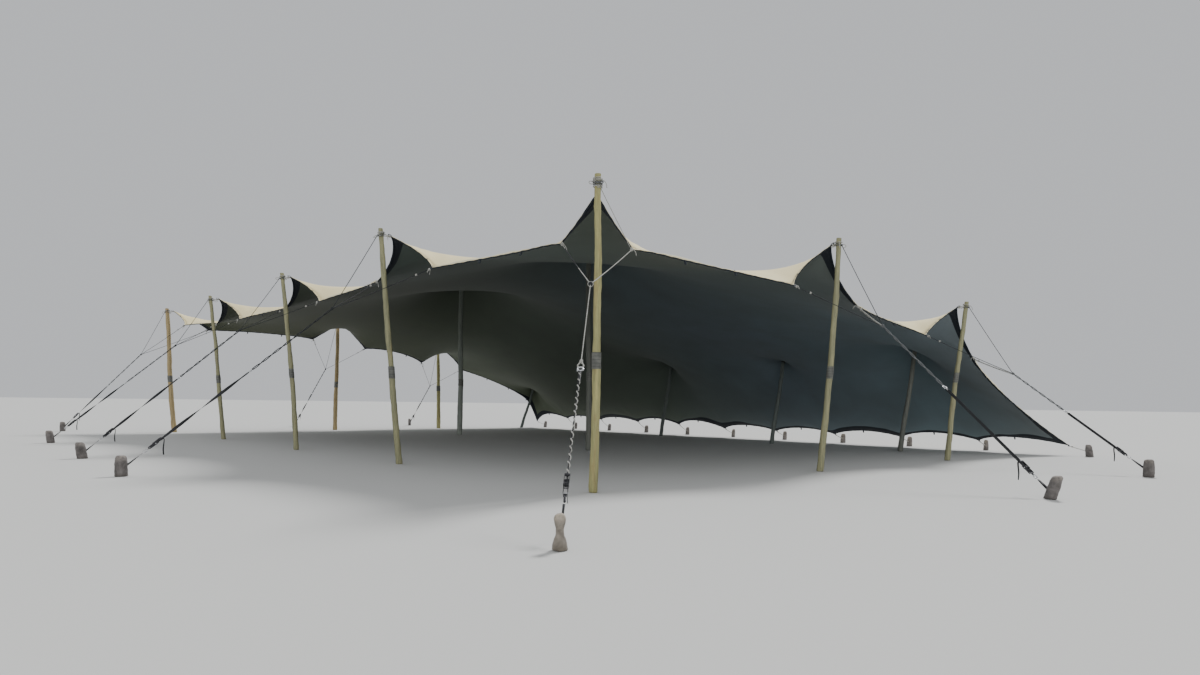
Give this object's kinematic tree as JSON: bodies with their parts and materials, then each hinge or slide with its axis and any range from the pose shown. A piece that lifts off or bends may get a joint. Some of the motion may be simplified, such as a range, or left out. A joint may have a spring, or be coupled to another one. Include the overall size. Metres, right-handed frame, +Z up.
{
  "type": "stretch tent",
  "caption": "Freeform stretch tent: one elastic canopy on wooden poles, its high edges guyed out to covered ground stakes and its low edge pegged down along one side.",
  "frame": {"origin": "middle of the whole tent's plan, stakes included, at ground level", "axes": "+Z up, +Y along the long high edge from the front corner pole to the far corner, +X across the tent from the high edge to the low pegged edge"},
  "size_m": [19.2, 28.6328, 6.0119],
  "materials": {
    "canopy_cloth": "matte",
    "pole_wood": "matte",
    "guy_rope": "matte",
    "stake_cover": "matte"
  },
  "bodies": {
    "root": {"canopy": "canopy_cloth", "pole_front_corner": "pole_wood", "pole_long_1": "pole_wood", "pole_long_2": "pole_wood", "pole_long_3": "pole_wood", "pole_far_corner": "pole_wood", "pole_right_1": "pole_wood", "pole_right_2": "pole_wood", "pole_left_1": "pole_wood", "pole_left_2": "pole_wood", "stake_front_corner": "stake_cover", "stake_long_1": "stake_cover", "stake_long_2": "stake_cover", "stake_long_3": "stake_cover", "stake_far_corner": "stake_cover", "stake_right_1": "stake_cover", "stake_right_2": "stake_cover", "stake_left_1": "stake_cover", "stake_left_2": "stake_cover", "guy_front_corner": "guy_rope", "guy_long_1": "guy_rope", "guy_long_2": "guy_rope", "guy_long_3": "guy_rope", "guy_far_corner": "guy_rope", "guy_right_1": "guy_rope", "guy_right_2": "guy_rope", "guy_left_1": "guy_rope", "guy_left_2": "guy_rope", "king_pole_1": "pole_wood", "king_pole_2": "pole_wood", "prop_pole_1": "pole_wood", "prop_pole_2": "pole_wood", "prop_pole_3": "pole_wood", "prop_pole_4": "pole_wood", "hem_stake_01": "stake_cover", "hem_stake_02": "stake_cover", "hem_stake_03": "stake_cover", "hem_stake_04": "stake_cover", "hem_stake_05": "stake_cover", "hem_stake_06": "stake_cover", "hem_stake_07": "stake_cover", "hem_stake_08": "stake_cover", "hem_stake_09": "stake_cover", "hem_stake_10": "stake_cover", "hem_stake_11": "stake_cover"}
  },
  "joints": []
}
